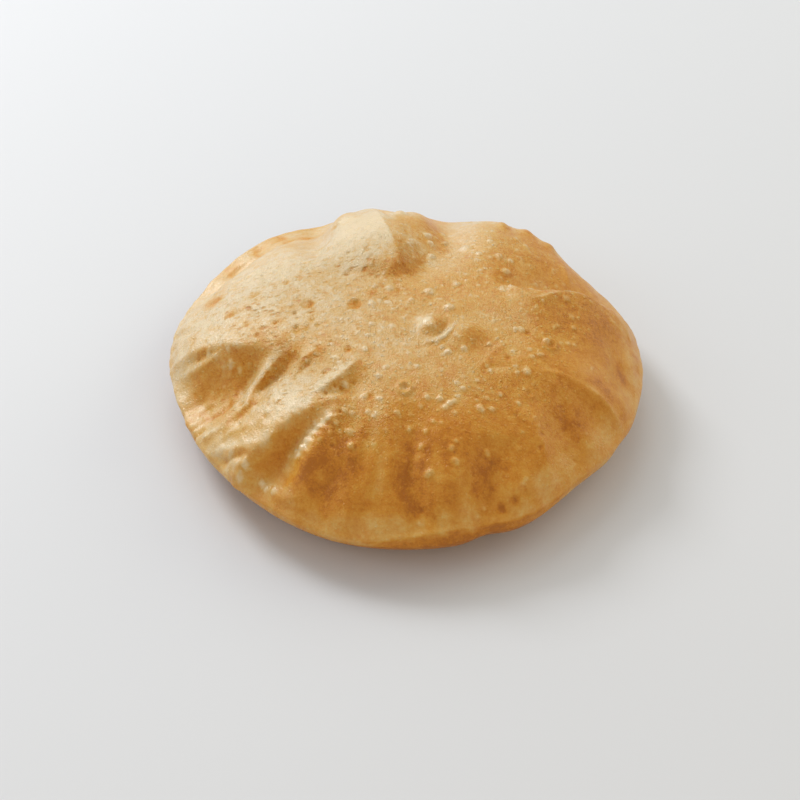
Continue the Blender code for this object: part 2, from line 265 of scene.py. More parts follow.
# Named blisters in plan millimetres: x, y, radius, rise
BLISTERS = (
    (-1.5, 47, 2.6, 0.7), (-1.1, 38.0, 0.8, 0.3), (6.5, 37.4, 1.4, 0.75), (0.7, 28.6, 1.0, 0.4),
    (7.4, 34.2, 1.4, 0.75), (11.2, 43.5, 1.2, 0.4), (7.6, 28.0, 1.3, 0.7), (2.8, 31.0, 1.0, 0.45),
    (17.5, 32.1, 2.4, 0.6), (21.8, 27.3, 1.2, 0.45), (27.7, 26.8, 1.5, 0.55),
    (25.3, 34.2, 1.2, 0.4), (25.0, 25.4, 1, 0.35), (20.8, 24.0, 0.9, 0.35), (23.6, 28.3, 0.8, 0.3),
    (31.0, 25.4, 1.2, 0.45), (33.3, 31.3, 0.8, 0.3), (36.0, 35.2, 0.9, 0.35),
    (29.3, 20.3, 1.6, 0.45), (14.8, 11.2, 1.4, 0.5), (6.7, 7.0, 2, 0.6), (5.0, 13.1, 0.8, 0.3),
    (17.6, 15.9, 0.9, 0.35), (23.3, 20.1, 0.8, 0.3), (15.6, 16.8, 0.8, 0.3), (19.1, 25.9, 0.8, 0.3),
    (1.5, 3.4, 1.1, 0.4), (-4.6, 8.6, 1.6, 0.4), (12.3, 0.0, 2, 0.7), (-9.7, 1.7, 1.6, 0.5),
    (-8.9, 9.2, 1.2, 0.35), (-5.4, 2.5, 1.1, 0.3), (32.5, -7.4, 1.4, 0.4), (37.2, 1.4, 0.9, 0.3),
    (46.6, 7.3, 1.1, 0.3), (47.7, -2.9, 1.1, 0.35), (43.0, -3.8, 0.9, 0.3),
    (30.8, -22.9, 0.8, 0.35), (33.5, -22.3, 1.6, 0.4), (39.4, -11.0, 1.3, 0.5),
    (37.2, -16.2, 0.8, 0.3), (35.2, -17.3, 0.9, 0.3), (34.7, -14.8, 0.8, 0.25),
    (29.9, -15.8, 0.8, 0.3), (30.5, -21.0, 0.8, 0.3), (30.7, -32.4, 0.9, 0.35),
    (25.8, -30.6, 0.9, 0.35), (11.7, -17.8, 1.2, 0.5), (16.1, -16.4, 1.1, 0.45),
    (10.0, -16.0, 0.8, 0.3), (15.6, -30.1, 1.1, 0.4), (9.2, -33.7, 1.1, 0.45),
    (5.7, -33.5, 0.9, 0.4), (10.6, -36.3, 1.2, 0.45), (12, -35, 1.2, 0.45),
    (13.2, -34.2, 0.9, 0.35), (20.4, -36.3, 1.2, 0.45), (23.4, -35.6, 0.9, 0.45),
    (-2.5, -37.8, 1.1, 0.4), (22.1, -32.4, 0.8, 0.3), (19.5, -27.3, 0.8, 0.3),
    (14.2, -32.7, 0.7, 0.3), (4.0, -36.1, 0.8, 0.3), (5.3, -43.2, 0.9, 0.4), (4.0, -46.8, 1.2, 0.4),
    (12.3, -47.9, 1.2, 0.4), (21.8, -47.0, 1.2, 0.4), (13.1, -51.2, 1.5, 0.45),
    (5.6, -53.9, 1.2, 0.4), (6.4, -53.4, 1, 0.35), (7.3, -40.5, 0.8, 0.3), (9.4, -41.1, 0.8, 0.3),
    (13.4, -45.9, 0.8, 0.3), (0.8, -41.9, 1.2, 0.35), (-11.5, -32.4, 1.4, 0.5),
    (-7.1, -33.5, 1, 0.4), (-11.4, -16.6, 1.2, 0.4), (-13.5, -9.8, 1, 0.4),
    (-10.7, -11.2, 0.9, 0.35), (-5.8, -23.7, 1.1, 0.4), (-7.5, -26.4, 1.1, 0.4),
    (-16.8, -28.4, 1.2, 0.4), (-15.2, -42.9, 1.4, 0.5), (-14.9, -46.6, 1.2, 0.5),
    (-19.0, -40.6, 1, 0.4), (-16.6, -37.2, 1.1, 0.4), (-14.7, -37.8, 1.1, 0.4),
    (-10.4, -37.5, 1, 0.4), (-49.7, -11.8, 1, 0.4), (-17.9, -42.8, 0.8, 0.3),
    (-20.6, -43.1, 0.8, 0.3), (-19.5, -45.5, 0.8, 0.3), (-23.3, -44.6, 0.9, 0.3),
    (-22.6, -39.2, 0.9, 0.35), (-24.2, -40.3, 1, 0.4), (-25.6, -41.4, 1, 0.4),
    (-27.3, -42.4, 1.1, 0.45), (-28.3, -44.9, 1.1, 0.4), (-29.3, -46.4, 0.9, 0.35),
    (-48, -40.3, 1, 0.4), (-44, -45.1, 1.1, 0.45), (-51.1, -37, 0.9, 0.35),
    (-45.5, -46.9, 1.1, 0.4), (-39.4, -48.5, 1.1, 0.4), (-36, -52, 1.2, 0.4),
    (-38.2, -50.5, 0.9, 0.3), (-21, -39.4, 1, 0.45), (-26.8, -43.6, 1, 0.45),
)

# Burst blisters left as small rings
RINGS = (
    (-0.4, -30.6, 2.1, 0.8), (40.6, -11.8, 2.0, 0.6), (34, -28.6, 1.7, 0.3), (-14.2, -48, 1.9, 0.3),
)

# Dents in plan millimetres: x, y, radius, depth
DENTS = (
    (-28, 3.2, 2.3, 0.8), (-14.6, 1.8, 2.5, 0.7), (-32.9, 2.8, 1.4, 0.45), (-31.1, -7.4, 1.4, 0.45),
    (-41.5, 15.1, 1, 0.4), (-32.3, 14.0, 0.9, 0.3), (-30.9, 9.5, 0.8, 0.3), (-26.7, -3.6, 1.2, 0.4),
    (-43.7, 3.0, 0.9, 0.35), (-41.3, 1.7, 0.9, 0.3), (-37.3, -3.2, 1.3, 0.4),
    (-31.0, -2.5, 0.9, 0.3), (-45.7, -2.0, 1.1, 0.35), (-43.3, 6.7, 0.9, 0.3),
    (-39.4, 3.8, 0.8, 0.3), (-49.8, 17.2, 0.9, 0.3), (-43.8, -4.5, 0.9, 0.3),
    (-45.1, 1.7, 0.9, 0.3), (-24.6, -14.8, 1.3, 0.5), (-16.2, -16.2, 1.6, 0.5),
    (-26.3, 30.7, 1.5, 0.5), (-25.9, 36.5, 1.2, 0.4), (-15.1, 17.2, 1.6, 0.3),
    (-17.0, 10.3, 1.2, 0.3), (-9.2, 8.7, 1.2, 0.3), (-5.7, 4.2, 1.2, 0.35), (-2.3, 7.8, 1.2, 0.3),
    (25.7, -59.1, 1.5, 0.4), (29.5, -57.5, 1.4, 0.4), (37.3, -40.2, 1.2, 0.3),
    (32.5, -55.6, 1.3, 0.3), (-10.2, -3.9, 1.2, 0.3), (-22.0, 11.3, 1, 0.3),
    (-21.6, 44.9, 1.3, 0.3), (-9.9, -32.6, 1.6, 0.4),
)

# Broad swellings: x, y, half width, half depth, rise
MOUNDS = (
    (4.5, 31, 6, 10, 1.0), (10, 33, 4, 11, 0.9), (7.2, -8.2, 2.6, 3.0, 1.0),
    (16.8, -9.6, 3.6, 3.2, 0.7), (-46.5, -46, 4, 4, 0.8), (-26, 59, 6, 6, -1.8),
    (-18.5, 50, 4, 5, 1.8), (-18, -33.6, 5, 1.8, 0.4), (29.6, 46, 1.9, 3, 1.1),
    (36.8, 46.2, 2.4, 3.2, 1.2), (44, 42.6, 2.2, 3, 1.0), (-40, -18, 2.5, 2.5, 0.5),
)

# Browner and paler patches, partly the crust's own colour and partly painted light and shade: x, y, half
# width, half depth, how much browner
PATCHES_AND_PAINTED_LIGHT = (
    # Front
    (-23, -51, 9, 7, 0.14), (-16, -52, 4, 5, 0.10), (1, -53, 4, 12, 0.17), (3, -61, 4, 5, 0.14),
    (0, -50, 40, 12, 0.05), (6, -46, 8, 6, 0.14), (22, -53, 4.5, 10, 0.20), (33, -56, 2, 2, 0.12),
    (12, -62, 6, 4, 0.1), (-20, -58, 8, 3, 0.15), (-11, -61, 8, 2.5, 0.15), (44, -46, 8, 6, 0.07),
    (-7, -49, 5, 12, -0.1), (13, -58, 4, 8, -0.06), (38, -49, 2, 10, -0.08),
    (-33, -50.5, 4, 3, 0.25),
    # Left and its rim
    (-50, -13, 12, 6, -0.02), (-35, -16, 4, 4, 0.06), (-46, -35.6, 5, 3, 0.10),
    # (-36, -18) is paler to lighten a pocket in shade: painted light
    (-38, -46, 5, 3, 0.06), (-43, -47.5, 4, 3, 0.10), (-36, -18, 4, 4, -0.20),
    (-46.5, -16.5, 3, 4, 0.10), (-57, 17, 3, 2, 0.15), (-30, -13, 3, 3, 0.15),
    # The large pale patches here are partly painted light on slopes that face the lamps
    (-44, 9, 18, 16, -0.46), (-57, 5, 8, 8, -0.3), (-29, -29, 14, 7, -0.48),
    (-40, -35, 12, 6, -0.20), (-46, -44, 6, 5, -0.08), (-61, -19, 4, 3, 0.16),
    (-66, -11, 2.5, 7, -0.2), (-60, -5.8, 5, 2, 0.02), (-43, -41.5, 5, 3, -0.06),
    (-57, -22, 6, 5, -0.08), (-50, -39, 5, 4, -0.05),
    # Back left, the tall lobe and the back right
    # (3, 28) is paler to lighten the tall lobe's shaded flank: painted light
    (-1, 18, 8, 4, 0.14), (3, 28, 5, 10, -0.18), (10, 44, 4, 7, 0.04), (38, 19, 9, 5, -0.13),
    # The large pale patches here are partly painted light on the sides of the lobes that face the lamps
    (42, 32, 6, 8, 0.02), (-14, 39, 12, 12, -0.5), (-19, 25, 16, 12, -0.4), (15, 44, 12, 10, -0.18),
    (-52.5, 40, 3, 3.5, 0.4), (-45.5, 49, 2.5, 2.5, 0.35), (-39.5, 53.5, 3, 2, 0.3),
    (-30, 53, 3, 2.5, 0.25), (-25.5, 36.5, 2, 2, 0.2), (-26, 30.5, 2.4, 1.6, 0.25),
    (-44, 32, 12, 14, -0.3),
    # Right
    (44.5, -33, 4.5, 5, 0.10), (48.5, -36, 3, 4, 0.09), (46, -40, 4, 3, 0.07),
    (42, -25, 9, 4, 0.05), (60, -23, 5, 5, 0.18), (66, -2, 2, 3, 0.22), (63, -11, 2, 2.5, 0.22),
    (37, -38, 2, 3, 0.15), (57, -30, 9, 13, 0.10), (64, -2, 5, 12, 0.05), (33, 9, 4, 3, 0.14),
    (53, 4, 9, 5, 0.12), (56, -3, 6, 9, 0.08), (41, -3, 10, 5, 0.12), (55, -35, 6, 5, -0.06),
    (58, -20, 5, 5, -0.05), (63, 0, 3, 8, -0.04), (52, -15, 3, 4, -0.1), (27, -4, 10, 6, -0.15),
    # Middle
    # (-17, -27.8) browns the pocket beside the long blister: painted shade
    (-17, -27.8, 4.5, 3.2, 0.24), (-25, -35.6, 3, 2, 0.14), (-2, -15, 22, 12, -0.22),
    # (5.2, -7.4) is a painted highlight on the double blister
    (-22, 0, 14, 10, -0.25), (5.2, -7.4, 1.2, 2, -0.3), (8.6, -8.6, 2.6, 2.6, 0.02),
    (17, -9, 5, 4, 0.08), (9, -33, 12, 6, -0.1),
)

# Small brown spots, given like the patches; the paler ones on blisters are painted highlights, and the paler
# ones on the left rim and in a burst blister's middle are painted light
SPOTS_AND_GLINTS = (
    # Front
    (25.8, -59, 1.2, 1.6, 0.2), (29.6, -57.4, 1.6, 1.2, 0.2), (19, -56.6, 1.6, 1.4, 0.12),
    (-21, -55.4, 1.4, 1.2, 0.12), (-16.6, -47, 1.6, 1.6, 0.14),
    # Left and its rim
    (-56.4, 17.2, 3.0, 4.0, 0.44), (-50.3, 5.6, 3.0, 2.4, 0.44), (-44.2, 11.4, 2.8, 2.0, 0.40),
    (-27.7, 3.6, 2.0, 1.7, 0.30), (-36, -2.6, 2.0, 1.1, 0.22), (-30.8, -1.8, 1.6, 1.0, 0.18),
    (-40.6, 2.2, 1.6, 1.0, 0.20), (-35, 6, 1.3, 1.0, 0.18), (-45.2, -1.6, 1.8, 1.0, 0.2),
    # (-65.5, -4.5) is paler to lighten the left rim: painted light
    (-33.4, -8.4, 1.6, 1.2, 0.16), (-38, 14.6, 1.6, 1.2, 0.15), (-65.5, -4.5, 3, 5, -0.22),
    # Back left, the tall lobe and the back right
    # The paler spots on the blisters at (6.5, 37.4), (7.4, 34.2), (7.6, 28) and (-2.2, 47.3) are painted
    # highlights
    (-16, 18.5, 4.5, 3.0, -0.20), (6.5, 37.4, 0.9, 0.9, -0.16), (7.4, 34.2, 0.9, 0.9, -0.16),
    (7.6, 28, 0.8, 0.8, -0.16), (-2.2, 47.3, 2.4, 2.6, -0.35),
    # Right
    (43, -30.4, 1.3, 1.2, 0.14), (44, -34.4, 1.0, 1.8, 0.14), (47.8, -30.4, 1.4, 1.0, 0.12),
    (47.6, -36.6, 1.4, 1.0, 0.12), (65.6, 3, 1.2, 2.4, 0.18), (62.6, -12.6, 1.4, 2.2, 0.16),
    (41.4, -11.9, 1.6, 1.4, 0.08),
    # Middle
    (-14.7, 1.8, 2.3, 2.2, 0.10), (-24.8, -9.4, 1.6, 1.2, 0.14), (-20.6, 14.2, 2.0, 1.6, 0.15),
    # (-0.4, -30.6) lightens the middle of a burst blister: painted light
    (-9.4, 6.6, 1.6, 1.4, 0.16), (-0.4, -30.6, 1.1, 1.1, -0.16),
)

# Lines of painted light and shade, given like the creases: paler on ridge faces that turn to the lamps,
# browner in troughs and on faces turned away; the palest are painted highlights on the wet ridge and the
# double blister
LIT_AND_SHADED_LINES = (
    (LOBE_EDGE, 0.04, 6.0, 0.4, 1.6),
    (LOBE_EDGE, -0.26, 0.4, 6.0, 1.6),
    (SLAB_RIDGE, -0.45, 2.6, 0.4, 1.8),
    (((-42, -19), (-38, -17.2), (-34.5, -14.6), (-31, -12.6)), 0.08, 0.6, 3.0, 1.8),
    (((-64.5, -4.3), (-57.8, -5.9), (-52.6, -7.1), (-47.2, -8.8), (-42.2, -10.3)),
     -0.22, 4.0, 0.3, 1.6),
    (HOLLOW_RIDGE, -0.3, 0.7, 0.5, 1.6),
    (((-46, -45), (-42.7, -43.6), (-39.3, -42.1), (-35.7, -40.6), (-31.7, -37.9), (-28.1, -36.2),
     (-22.9, -35.2)), -0.22, 4.0, 0.4, 1.6),
    (((-30.4, -47.6), (-27.9, -45), (-25.6, -42.2), (-22.2, -40), (-17.8, -37.6)),
     -0.55, 2.8, 0.8, 1.8),
    (((-42, -47.5), (-38, -45.2), (-34, -42.6), (-30, -40.3), (-26.5, -38.4)), 0.12, 2.2, 1.6, 1.8),
    (((-24.4, -31.4), (-20.6, -28.7), (-17, -25.2), (-13.4, -20.8)), -0.36, 1.6, 0.5, 1.6),
    (((-22, -32.6), (-18.2, -30.4), (-13.6, -27.8)), 0.14, 0.5, 2.0, 1.8),
    (RIM_PLEAT, -0.12, 0.8, 0.8, 1.6),
    (((-57.4, -23.5), (-53.5, -23.6), (-50.6, -22.2), (-49.2, -19)), 0.18, 1.2, 1.3, 1.8),
    (((-61.5, -28.6), (-58.4, -28.1), (-54.6, -27.8)), 0.22, 0.9, 1.0, 1.8),
    (((-52.8, -39.3), (-49.6, -41), (-46.2, -42.4), (-42.4, -43)), 0.22, 0.8, 0.9, 1.8),
    (SLAB_CREASE, 0.26, 1.4, 1.6, 1.8),
    (((-57.4, -30.8), (-54.6, -30.9), (-51.9, -30.9)), -0.25, 1.0, 1.0, 1.6),
    (RIM_FOLD, -0.25, 1.6, 0.6, 1.6),
    (BACK_CREASE, 0.09, 3.6, 0.3, 1.6),
    (BACK_CREASE, -0.14, 0.3, 1.1, 1.6),
    (NOTCH_CREST, -0.2, 0.8, 0.8, 1.6),
    (DOUBLE_RIDGE, -0.45, 0.8, 0.5, 1.6),
    (((2.8, -15.2), (6, -16), (9.5, -14.6), (12.5, -11.4)), 0.2, 0.4, 1.2, 1.6),
    (((3.6, -10.4), (5.2, -7.4), (7.2, -3.2)), -0.38, 1.0, 1.2, 1.6),
)

# Where the skin is pebbled and where it is smooth: x, y, half width, half depth, how pebbled
PEBBLED = (
    (-36, 8, 24, 18, 0.8), (-28, -24, 16, 10, 0.6), (0, -8, 26, 20, 0.6), (-12, 22, 18, 12, 0.7),
    (14, 28, 16, 14, 0.5), (-14, -40, 12, 6, 0.5), (36, 0, 16, 12, 0.6), (34, 30, 12, 12, 0.45),
    (52, 8, 10, 10, 0.35), (22, -28, 20, 9, 0.35),
)

# Where the skin is pitted and finely wrinkled, given the same way
PITTED = ((-40, 4, 18, 14, 1.0), (-30, -26, 14, 8, 0.8), (-14, 20, 12, 8, 0.8))

# Where the skin is broken into small bumps, given the same way
RUMPLED = (
    (-20.5, -39.2, 3, 2, 0.8), (-24.8, -41.8, 2.6, 2.2, 1.0), (-28.4, -45, 2.2, 2.2, 0.7),
    (-45, -44, 5, 3.5, 0.35),
)

# Where oil lies wet on the skin: x, y, half width, half depth, how wet
WET = (
    (5.0, -7.6, 2.0, 3.2, 1.0), (-34, -32, 9, 5, 0.3), (-42, 2, 15, 12, 0.25),
    (10.6, -12, 2.6, 1.4, 0.7), (-21.5, -39.4, 4, 2, 0.9), (-26.6, -43.2, 3, 2.4, 0.9),
    (-0.6, -30.9, 2, 2, 0.6), (-18, -26, 4, 2, 0.5), (8, 33, 7, 9, 0.5), (20, 30, 4, 5, 0.5),
    (11, -35, 3, 2, 0.6),
)


def deselect():
    if bpy.context.mode != "OBJECT":
        bpy.ops.object.mode_set(mode="OBJECT")
    bpy.ops.object.select_all(action="DESELECT")


def choose(piece):
    deselect()
    piece.select_set(True)
    bpy.context.view_layer.objects.active = piece


def grow_skin(node):
    """The bread's skin: a merged copy of the solid, turned to quads and subdivided."""
    skin = node.copy()
    skin.data = node.data.copy()
    skin.name = skin.data.name = "puri_skin"
    bpy.context.scene.collection.objects.link(skin)
    skin.data.materials.clear()
    choose(skin)
    bpy.ops.object.mode_set(mode="EDIT")
    bpy.ops.mesh.select_all(action="SELECT")
    bpy.ops.mesh.remove_doubles(threshold=MERGE_GAP)
    bpy.ops.mesh.tris_convert_to_quads(face_threshold=QUAD_ANGLE, shape_threshold=QUAD_ANGLE)
    bpy.ops.mesh.normals_make_consistent(inside=False)
    bpy.ops.object.mode_set(mode="OBJECT")
    rounds = skin.modifiers.new("rounds", "SUBSURF")
    rounds.levels = rounds.render_levels = SKIN_ROUNDS
    bpy.ops.object.modifier_apply(modifier="rounds")
    bpy.ops.object.shade_smooth()
    return skin


def places_of(skin):
    """The skin's points in millimetres and its outward directions."""
    count = len(skin.data.vertices)
    places = np.empty(count * 3)
    skin.data.vertices.foreach_get("co", places)
    outward = np.empty(count * 3)
    skin.data.vertex_normals.foreach_get("vector", outward)
    return places.reshape(-1, 3) / MM, outward.reshape(-1, 3)


def put_back(skin, places):
    """Moves the skin's points to new places in millimetres."""
    skin.data.vertices.foreach_set("co", (places * MM).ravel())
    skin.data.update()


def push(skin, amount):
    """Moves every point along its outward direction by its own amount in millimetres."""
    places, outward = places_of(skin)
    put_back(skin, places + outward * amount[:, None])


def settle(skin):
    """Keeps the tallest lobe's top and the left rim within the solid's own box."""
    places, _ = places_of(skin)
    places[:, 2] -= np.clip(places[:, 2] - PEAK_START, 0, None) * PEAK_EASE
    places[:, 0] = np.maximum(places[:, 0], RIM_LEFT + RIM_EASE * (places[:, 0] - RIM_LEFT))
    put_back(skin, places)


def toward(turn, lift):
    """The direction at a compass turn and a height above the floor, both in degrees."""
    turn, lift = math.radians(turn), math.radians(lift)
    return Vector((math.cos(turn) * math.cos(lift), math.sin(turn) * math.cos(lift), math.sin(lift)))


def turn_of(places):
    """The compass turn of each point, in degrees."""
    return np.degrees(np.arctan2(places[:, 1], places[:, 0])) % 360


def rim_share(places):
    """How far out each point is in its direction, from 0 at the middle to 1 at the rim."""
    turn = turn_of(places)
    reach = np.hypot(places[:, 0], places[:, 1])
    steps = np.arange(0, 360, 3)
    widest = np.array([reach[np.abs((turn - step + 180) % 360 - 180) < 2].max() for step in steps])
    return reach / np.interp(turn, np.append(steps, 360), np.append(widest, widest[0]))


def bell(value, middle, spread, power=2):
    """1 at a middle, easing to 0 on both sides of it."""
    return np.exp(-((value - middle) / spread) ** power)


def band(value, low, high, soft):
    """1 between two limits, easing to 0 outside them."""
    up = np.clip((value - low) / soft + 0.5, 0, 1)
    down = np.clip((high - value) / soft + 0.5, 0, 1)
    return up * up * (3 - 2 * up) * down * down * (3 - 2 * down)


def mounds(places, spots):
    """Soft round patches summed over the plan."""
    out = np.zeros(len(places))
    for x, y, wide, deep, amount in spots:
        out += amount * np.exp(-((places[:, 0] - x) / wide) ** 2 - ((places[:, 1] - y) / deep) ** 2)
    return out


def grain(places, size, stretch=1.0, along=0.0):
    """Uneven waves of one size, drawn out along a direction in plan."""
    turn = math.radians(along)
    x = (places[:, 0] * math.cos(turn) + places[:, 1] * math.sin(turn)) / (size * stretch)
    y = (places[:, 1] * math.cos(turn) - places[:, 0] * math.sin(turn)) / size
    z = places[:, 2] / size
    return np.array([noise.noise(Vector(spot)) for spot in zip(x, y, z)])


def smooth_line(corners, steps=10):
    """A smooth line through the corners."""
    corners = np.array(corners, float)
    ends = np.vstack([2 * corners[0] - corners[1], corners, 2 * corners[-1] - corners[-2]])
    share = np.linspace(0, 1, steps, endpoint=False)[:, None]
    spans = []
    for a, b, c, d in zip(ends[:-3], ends[1:-2], ends[2:-1], ends[3:]):
        spans.append(0.5 * (2 * b + (c - a) * share + (2 * a - 5 * b + 4 * c - d) * share ** 2
                            + (3 * b - a - 3 * c + d) * share ** 3))
    return np.vstack(spans + [corners[-1:]])


def crease(places, corners, rise, left, right, sharpness):
    """A ridge or trough along a line, with its own width on each side, fading at its ends."""
    line = smooth_line(corners)
    reach = CREASE_REACH * max(left, right)
    low, high = line.min(axis=0) - reach, line.max(axis=0) + reach
    near = np.flatnonzero(((places[:, :2] > low) & (places[:, :2] < high)).all(axis=1))
    gaps = places[near, None, :2] - line[None]
    away = np.hypot(gaps[..., 0], gaps[..., 1])
    closest = away.argmin(axis=1)
    rows = np.arange(len(near))
    run = np.gradient(line, axis=0)[closest]
    gap = gaps[rows, closest]
    width = np.where(run[:, 0] * gap[:, 1] - run[:, 1] * gap[:, 0] > 0, left, right)
    fade = np.sin(math.pi * np.clip(closest / (len(line) - 1), *CREASE_ENDS)) ** CREASE_FADE
    out = np.zeros(len(places))
    out[near] = rise * fade * np.exp(-(away[rows, closest] / width) ** sharpness)
    return out


def pleats(places, share, upper):
    """Short radial pleats where the two sheets of dough meet, strongest on the left."""
    turn = turn_of(places)
    out = np.zeros(len(places))
    at = 0.0
    while at < 360:
        strong = PLEAT_RISE + PLEAT_MORE * bell(at, PLEAT_TURN, PLEAT_SPREAD)
        start = DRAW.uniform(*PLEAT_START)
        width = DRAW.uniform(*PLEAT_WIDTH)
        lean = DRAW.uniform(*PLEAT_LEAN)
        size = strong * DRAW.uniform(*PLEAT_SCALE) * DRAW.choice(PLEAT_SIGNS)
        gap = (turn - at - lean * (share - PLEAT_PIVOT) + 180) % 360 - 180
        out += size * bell(gap, 0, width) * band(share, start, PLEAT_END, PLEAT_EASE)
        at += DRAW.uniform(*PLEAT_STEP)
    return out * upper


def gathers(places, share):
    """Fine radial streaks, as in gathered cloth."""
    turn = np.radians(turn_of(places))
    spots = zip(np.cos(turn) * GATHER_FINE, np.sin(turn) * GATHER_FINE, share * GATHER_LONG)
    front = bell(np.degrees(turn), GATHER_TURN, GATHER_SPREAD)
    return front * np.array([noise.noise(Vector(spot)) for spot in spots])


def turned_under(places, share):
    """1 on the strip outside the lip where the lower sheet shows, 0 on the upper; and the lip's line."""
    turn = turn_of(places)
    limit = LIP_SHARE
    for middle, spread, dip in LIP_DIPS:
        limit = limit - dip * bell(turn, middle, spread)
    under = np.clip((share - limit) / LIP_SOFT + 0.5, 0, 1)
    return under, bell(share, limit - LIP_SOFT, LIP_WIDTH)


def swell(tree, count, spots, power):
    """Round swellings on the skin at their spots."""
    out = np.zeros(count)
    for x, y, radius, rise in spots:
        for _, index, away in tree.find_range((x, y, 0), radius):
            out[index] += rise * (1 - (away / radius) ** 2) ** power
    return out


def rings(tree, count, spots):
    """Burst blisters: a low rim round a shallow middle."""
    out = np.zeros(count)
    for x, y, radius, rise in spots:
        for _, index, away in tree.find_range((x, y, 0), radius * RING_REACH):
            part = away / radius
            line = bell(part, RING_LINE, RING_LINE_WIDTH)
            out[index] += rise * (line - RING_DIP * bell(part, 0, RING_DIP_WIDTH))
    return out


def scatter(count, least, mean, most, low, high, thicker):
    """Seeded spots for many small blisters or pits, as thick on the ground as the patches say."""
    spots = []
    tries = DRAW.uniform(-SPREAD_OUT, SPREAD_OUT, (count * SCATTER_TRIES, 2))
    thick = np.clip(mounds(tries, thicker), 0.02, 1)
    for (x, y), keep in zip(tries, thick):
        if len(spots) == count:
            break
        if math.hypot(x, y) > SCATTER_RIM or DRAW.random() > keep:
            continue
        radius = min(least + DRAW.exponential(mean), most)
        spots.append((x, y, radius, radius * DRAW.uniform(low, high)))
    return spots


def plan_tree(places, outward):
    """Finds the points of the upper skin by their place in plan."""
    upward = np.flatnonzero(outward[:, 2] > 0.05)
    tree = kdtree.KDTree(len(upward))
    for index in upward:
        tree.insert((places[index, 0], places[index, 1], 0), int(index))
    tree.balance()
    return tree


def leave_mark(skin, name, amount):
    """Keeps a value from 0 to 1 on every point for the material to read."""
    mark = skin.data.attributes.new(name, "FLOAT", "POINT")
    mark.data.foreach_set("value", np.clip(amount, 0, 1).astype(np.float32))


def broad_relief(places, outward):
    """Creases, the rim with its pleats and lip, and broad swellings, in millimetres."""
    upper = np.clip((outward[:, 2] + 0.15) / 0.3, 0, 1)
    share = rim_share(places)
    out = sum(crease(places, *values) for values in CREASES) * upper
    out += pleats(places, share, upper)
    under, lip = turned_under(places, share)
    out += LIP_RISE * lip * np.clip(outward[:, 2] + 0.5, 0, 1) - UNDER_DROP * under * upper
    rumpled = bell(turn_of(places), RUMPLE_TURN, RUMPLE_SPREAD) * band(share, *RUMPLE_BAND)
    out += RUMPLE_DEPTH * rumpled * grain(places, RUMPLE_SIZE) * upper
    out += GATHER_DEPTH * gathers(places, share) * band(share, *GATHER_BAND) * upper
    out += BROAD_DEPTH * grain(places, BROAD_SIZE) * upper
    out += mounds(places, RUMPLED) * grain(places, BUMP_SIZE) * upper
    out += mounds(places, MOUNDS) * upper
    return out


def shape_skin(skin):
    """Shapes the skin. Gives its blister tops, its pits and how squarely each point faces the key lamp."""
    places, outward = places_of(skin)
    push(skin, broad_relief(places, outward))

    places, outward = places_of(skin)
    facing = outward @ np.array(toward(*KEY_WAY))
    tree = plan_tree(places, outward)
    count = len(places)
    named = [(x, y, NAMED_LEAST + NAMED_SHARE * radius, rise) for x, y, radius, rise in BLISTERS]
    tops = NAMED_RISE * swell(tree, count, named, NAMED_ROUND)
    tops += swell(tree, count, scatter(*SMALL_BLISTERS, PEBBLED), SMALL_ROUND)
    pits = DENT_DEPTH * swell(tree, count, DENTS, DENT_ROUND)
    pits += swell(tree, count, scatter(*SMALL_PITS, PITTED), PIT_ROUND)
    pits = np.minimum(pits, DEEPEST_PIT)
    out = tops - pits + rings(tree, count, RINGS)
    streaked = mounds(places, PITTED)
    out += STREAK_DEPTH * np.clip(streaked, 0, 1) * grain(places, STREAK_SIZE, STREAK_STRETCH, STREAK_TURN)
    out += SOFT_DEPTH * grain(places, SOFT_SIZE)
    push(skin, out * np.clip(outward[:, 2] * 4, 0, 1))
    settle(skin)

    leave_mark(skin, "pebbled", LEAST_PEBBLED + mounds(places, PEBBLED))
    leave_mark(skin, "streaked", streaked)
    leave_mark(skin, "wet", mounds(places, WET) + TOP_WET * np.clip(tops - TOP_WET_FROM, 0, TOP_WET_CAP))
    return tops, pits, facing


def paint_tone_and_light(skin, tops, pits, facing):
    """Marks each point from 0 (pale) to 1 (deep golden brown): the crust's own tone with painted light and
    shade added, paler where it faces the key lamp, on lit ridges and on blister tops (partly painted
    highlights), browner where it turns away and in troughs; the underside is deep brown, partly its own
    colour and partly painted shade.
    """
    places, outward = places_of(skin)
    share = rim_share(places)
    warped = places.copy()
    warped[:, 0] += WARP_REACH * grain(places, WARP_SIZE)
    warped[:, 1] += WARP_REACH * grain(places + WARP_SHIFT, WARP_SIZE)
    broken = 1 + PATCH_BREAK * grain(places, PATCH_BREAK_SIZE)
    brown = BASE_BROWN + PATCH_SHARE * mounds(warped, PATCHES_AND_PAINTED_LIGHT) * broken
    brown += mounds(places, SPOTS_AND_GLINTS)
    for values in LIT_AND_SHADED_LINES:
        brown += crease(warped * TINT_WARP + places * (1 - TINT_WARP), *values)
    brown += GATHER_BROWN * gathers(places, share) * band(share, *GATHER_BROWN_BAND)
    # Painted light and shade: paler where the skin faces the key lamp, browner where it turns from it
    brown += np.clip(PAINTED_SHADE_AND_LIGHT * (SHADE_LEVEL - facing), SHADE_LEAST, SHADE_MOST)
    brown -= RIM_PALE * band(share, *RIM_BAND)
    # Blister tops painted paler, partly as painted highlights
    brown += PIT_BROWN * np.clip(pits, 0, PIT_CAP) - TOP_PALE * np.clip(tops, 0, TOP_CAP)
    # The underside and the downward faces: deep brown, partly their own colour and partly painted shade
    front = bell(turn_of(places), FRONT_TURN, FRONT_SPREAD, 4)
    below = np.clip(-outward[:, 2] * 4 - 1.6 * (1 - front), 0, 1)
    under = np.maximum(turned_under(places, share)[0], below)
    leave_mark(skin, "browning_and_light", brown * (1 - under) + UNDERSIDE_BROWN_AND_SHADE * under)


